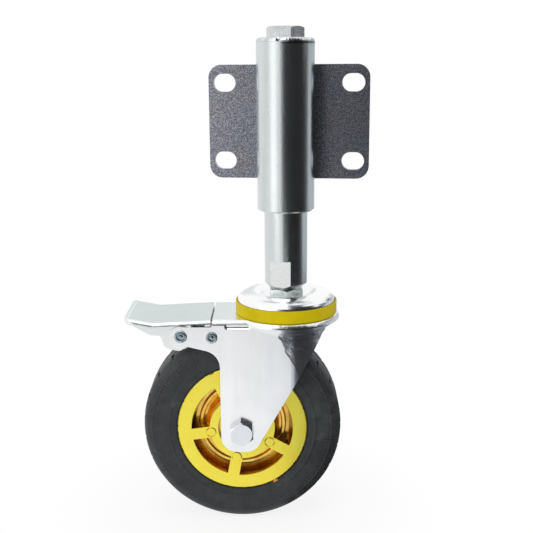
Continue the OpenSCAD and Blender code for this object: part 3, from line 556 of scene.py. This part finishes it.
def helix(base, axis, start, radius, low, high, turns, wire, sides=12, steps=36, ends=1.0):
    """Wire of radius wire wound round an axis. The turns at its ends lie close against each other."""
    side = (start - axis * start.dot(axis)).normalized()
    third = axis.cross(side)
    close_pitch = wire * 2.05
    closed = ends * close_pitch
    open_pitch = (high - low - 2 * closed) / (turns - 2 * ends)
    rings = []
    for i in range(int(turns * steps) + 1):
        t = i / steps
        if t < ends:
            z = t * close_pitch
        elif t > turns - ends:
            z = high - low - (turns - t) * close_pitch
        else:
            z = closed + (t - ends) * open_pitch
        out = side * math.cos(t * math.tau) + third * math.sin(t * math.tau)
        centre = base + out * radius + axis * (low + z)
        rings.append(oval(centre, out * wire, axis * wire, sides))
    return skin_rings(rings)


def spring():
    """The coil spring, with a rounder wire than the CAD model's."""
    radius, wire, turns = 12.6 * MM, 1.5 * MM, 8
    low, high = -20.45 * MM, 43.45 * MM
    points, faces = helix(TUBE, UP, RIGHT, radius, low, high, turns, wire)
    piece = add_piece("spring_coil", "housing", SPRING, points, faces)
    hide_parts("coil_spring")
    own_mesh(piece)


def cap_bead():
    """Bead round the lid, laid in short overlapping ripples, with a stop mark at the front."""
    profile = [
        (14.9, 47.9), (17.2, 47.9), (17.42, 48.15), (17.40, 48.75), (17.15, 49.4), (16.75, 49.95),
        (16.2, 50.3), (15.6, 50.5), (15.0, 50.45),
    ]
    foot_z, height = 48.1, 2.4
    ripples, stop_mark, mark_width = 27, 261, 3.2
    count = 420
    rings = []
    for i in range(count):
        turn = i / count * math.tau
        out = Vector((math.cos(turn), math.sin(turn), 0))
        ripple = abs(math.sin(turn * ripples)) ** 0.7
        wander = noise.noise(out * 2 + UP * 3.1)
        mark = math.exp(-((math.degrees(turn) - stop_mark) / mark_width) ** 2)
        swell = 0.16 * ripple + 0.14 * wander - 0.12 - 1.1 * mark
        ring = []
        for r, z in profile:
            grow = swell * max(0.0, z - foot_z) / height
            ring.append(TUBE + out * (r + grow * 0.7) * MM + UP * (z + grow) * MM)
        rings.append(ring)
    points, faces = skin_rings(rings, loop=True)
    piece = add_piece("cap_bead", "housing", WELD, points, faces)
    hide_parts("cap_weld")


def plate_bead(hand):
    """One bead beside the tube: a row of ripples down the plate, left (-1) or right (1) of the tube."""
    half_length, end_gap, end_round, count = 31.6, 0.3, 1.6, 190
    middle_x, middle_y, bead_r, ripple_rate = 6.69, -3.4, 3.8, 1.25
    arc_start, arc_step, arc_points = -8, -10.4, 11
    buried = ((4.6, -5.2), (4.4, -3.8), (9.6, -3.6))
    rings = []
    for i in range(count + 1):
        z = half_length * (2 * i / count - 1)
        ripple = abs(math.sin(z * ripple_rate)) ** 0.6
        wander = noise.noise(Vector((hand * 4.0, z * 0.12, 0)))
        end = min(1.0, (half_length + end_gap - abs(z)) / end_round) ** 0.5
        size = bead_r * (0.94 + 0.06 * ripple + 0.03 * wander) * (0.8 + 0.2 * end)
        arc = [math.radians(arc_start + arc_step * k) for k in range(arc_points)]
        outline = [(middle_x + size * math.cos(a), middle_y + size * math.sin(a)) for a in arc]
        outline += buried
        ring = [Vector((hand * x, y, z)) * MM for x, y in outline]
        rings.append(ring if hand > 0 else ring[::-1])
    return skin_rings(rings)


def plate_beads():
    """The two beads between the tube and the plate."""
    points, faces = [], []
    for hand in (-1, 1):
        more_points, more_faces = plate_bead(hand)
        faces += [tuple(v + len(points) for v in face) for face in more_faces]
        points += more_points
    piece = add_piece("plate_beads", "housing", WELD, points, faces)
    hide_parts("plate_welds")


def axle_thread():
    """Thread run-out on the axle's end, at the lock nut's side."""
    radius, wire, turns = 3.95 * MM, 0.28 * MM, 1.2
    low, high = 31.35 * MM, 32.85 * MM
    points, faces = helix(AXLE, -ACROSS, UP, radius, low, high, turns, wire, sides=6, steps=40, ends=0.0)
    add_piece("axle_thread", "fork", ZINC_AXLE, points, faces)


def nylon_insert():
    """The nylon ring in the lock nut."""
    ring_r, half_width, half_depth, side = 4.75 * MM, 0.62 * MM, 0.45 * MM, 31.1 * MM
    out = -ACROSS
    rings = [
        oval(AXLE + arm * ring_r + out * side, arm * half_width, out * half_depth, 10)
        for arm in oval(Vector(), ALONG, UP, 72)
    ]
    points, faces = skin_rings(rings, loop=True)
    add_piece("nylon_insert", "fork", NYLON, points, faces)


def rim_flash():
    """A small curl of yellow paint left on the rim's outer edge."""
    middle, spread, steps = 299.8, 4.4, 12
    edge_r, side = 41.5, 17.55
    rings = []
    for i in range(steps + 1):
        t = i / steps
        a = math.radians(middle + spread * (t - 0.5))
        arm = ALONG * math.cos(a) + UP * math.sin(a)
        size = (0.18 + 0.55 * math.sin(math.pi * t) ** 0.6) * MM
        lift = 0.25 * math.sin(t * 9.0)
        centre = AXLE + arm * (edge_r + lift) * MM + ACROSS * side * MM
        rings.append(oval(centre, arm * 1.3 * size, ACROSS * 0.5 * size, 8))
    points, faces = skin_rings(rings)
    add_piece("rim_flash", "wheel", PAINT_CURL, points, faces)


spring()
cap_bead()
plate_beads()
axle_thread()
nylon_insert()
rim_flash()


# Studio

WHITE = (1, 1, 1, 1)
PAPER = (0.9, 0.9, 0.9, 1)
CARD_BLACK = (0.010, 0.011, 0.013, 1)
WORLD_LIGHT = 0.55
FLOOR_Z = cad_box[0].z - 0.0002
FLOOR_HALF = 12.0
FLOOR_CARD_Z = FLOOR_Z + 0.002
CARD_R = 0.62
CARD_STEPS = 24
FLOOR_CARD_R = 0.61
LAMP_CARD_R = 1.2
LAMP_TARGET = Vector((0, -0.025, -0.1))


def stage_mesh(name, points, faces, material):
    thing = new_thing(name, points, faces, material)
    return thing


def shown_rays(g):
    """1 for the rays that show the background: camera, glossy and transmission."""
    path = g.tree.nodes.new("ShaderNodeLightPath").outputs
    seen = g.math("MAXIMUM", path["Is Camera Ray"], path["Is Glossy Ray"])
    return g.math("MAXIMUM", seen, path["Is Transmission Ray"])


def make_world():
    """White where it is seen or mirrored, and dimmer as a light."""
    world = bpy.data.worlds.new("studio")
    world.use_nodes = True
    g = Nodes(world.node_tree)
    lit = g.tree.nodes["Background"]
    shown = g.tree.nodes.new("ShaderNodeBackground")
    for background, strength in ((lit, WORLD_LIGHT), (shown, 1.0)):
        background.inputs["Color"].default_value = WHITE
        background.inputs["Strength"].default_value = strength
    g.put(g.tree.nodes["World Output"].inputs["Surface"], g.blend(shown_rays(g), lit, shown))
    bpy.context.scene.world = world


def make_floor():
    """White floor that shows a faint shadow under the wheel and fades into the background."""
    g = Skin("floor_white")
    g.tree.nodes.remove(g.shader)
    paper = g.tree.nodes.new("ShaderNodeBsdfDiffuse")
    paper.inputs["Color"].default_value = PAPER
    glow = g.tree.nodes.new("ShaderNodeEmission")
    glow.inputs["Strength"].default_value = 1.0
    fade = g.span(g.vector("LENGTH", g.point), 0.02, 0.15, 0.86, 1.0, smooth=True)
    surface = g.blend(g.times(fade, shown_rays(g)), paper, glow)
    g.put(g.tree.nodes["Material Output"].inputs["Surface"], surface)
    corners = [(x * FLOOR_HALF, y * FLOOR_HALF, 0) for x, y in ((-1, -1), (1, -1), (1, 1), (-1, 1))]
    floor = stage_mesh("floor", corners, [(0, 1, 2, 3)], g.material)
    floor.location = (AXLE.x, AXLE.y, FLOOR_Z)


def card(name, first, last, start, end, glow):
    """A dark or grey card round the tube, seen only in reflections.

    It is the band swept by the line from start to end, two points given by radius and height, between the
    angles first and last. Angles are in degrees, from -Y towards +X. Its glow is its colour.
    """
    material = bpy.data.materials.new(name)
    material.use_nodes = True
    shader = material.node_tree.nodes["Principled BSDF"]
    shader.inputs["Base Color"].default_value = CARD_BLACK
    shader.inputs["Roughness"].default_value = 1.0
    shader.inputs["Emission Color"].default_value = (*glow, 1)
    shader.inputs["Emission Strength"].default_value = 1.0
    points = []
    for i in range(CARD_STEPS + 1):
        a = math.radians(first + (last - first) * i / CARD_STEPS)
        out = Vector((math.sin(a), -math.cos(a), 0))
        points += [out * radius + UP * z for radius, z in (start, end)]
    faces = [(2 * i, 2 * i + 2, 2 * i + 3, 2 * i + 1) for i in range(CARD_STEPS)]
    thing = stage_mesh(name, points, faces, material)
    thing.location = TUBE
    thing.visible_camera = False
    thing.visible_diffuse = False
    thing.visible_shadow = False
    thing.visible_transmission = False


def area(name, azimuth, elevation, reach, width, height, power):
    """A rectangular lamp that points at the object. Its azimuth is counted as the cards' angles are."""
    data = bpy.data.lights.new(name, "AREA")
    data.shape = "RECTANGLE"
    data.size, data.size_y = width, height
    data.energy = power
    lamp = bpy.data.objects.new(name, data)
    bpy.context.scene.collection.objects.link(lamp)
    a, e = math.radians(azimuth), math.radians(elevation)
    out = Vector((math.sin(a) * math.cos(e), -math.cos(a) * math.cos(e), math.sin(e)))
    lamp.location = LAMP_TARGET + out * reach
    lamp.rotation_mode = "QUATERNION"
    lamp.rotation_quaternion = out.to_track_quat("Z", "Y")
    lamp.visible_camera = False


# Upright cards as first angle, last angle, top and brightness, and flat ones near the floor without a top.
# Mirrored in the metal, they give it its upright bands of light and dark.

FLAGS = (
    (-12, -6, 0.20, 0.30), (-6, 3, 0.20, 0.07), (3, 14, 0.30, 0.03), (14, 26, 0.55, 0.025),
    (26, 41, 0.62, 0.008), (41, 80, 0.85, 0.008), (80, 94, 0.10, 0.05), (94, 103, 0.10, 0.20),
    (103, 165, 0.10, 0.58),
)
FLOOR_CARDS = ((10, 13, 0.74), (13, 16, 0.42), (16, 20, 0.16), (20, 104, 0.02), (104, 150, 0.10))

bpy.context.scene.view_settings.view_transform = "Standard"
make_world()
make_floor()
for first, last, top, level in FLAGS:
    glow = (level * 0.95, level, level * 1.06)
    card("flag_%d" % last, first, last, (CARD_R, FLOOR_Z), (CARD_R, top), glow)
for first, last, level in FLOOR_CARDS:
    glow = (level * 0.9, level, level * 1.15)
    card("floor_%d" % last, first, last, (0.01, FLOOR_CARD_Z), (FLOOR_CARD_R, FLOOR_CARD_Z), glow)
card("floor_back", 150, 205, (0.03, FLOOR_CARD_Z), (0.40, FLOOR_CARD_Z), (0.24, 0.26, 0.29))
card("flag_over", 8, 76, (0.13, 0.55), (0.60, 0.55), (0.028, 0.032, 0.04))
card("card_side", 94, 152, (CARD_R, 0.10), (CARD_R, 0.24), (0.12, 0.13, 0.15))
card("card_back", 191, 207, (CARD_R, -0.10), (CARD_R, 0.16), (0.70, 0.74, 0.74))
card("card_lamp", -60, -26, (LAMP_CARD_R, FLOOR_Z), (LAMP_CARD_R, 0.70), (0.10, 0.11, 0.11))
area("softbox", azimuth=-43, elevation=16, reach=0.95, width=0.56, height=0.95, power=2.15)
area("top_light", azimuth=-10, elevation=68, reach=1.1, width=0.8, height=0.8, power=2.6)
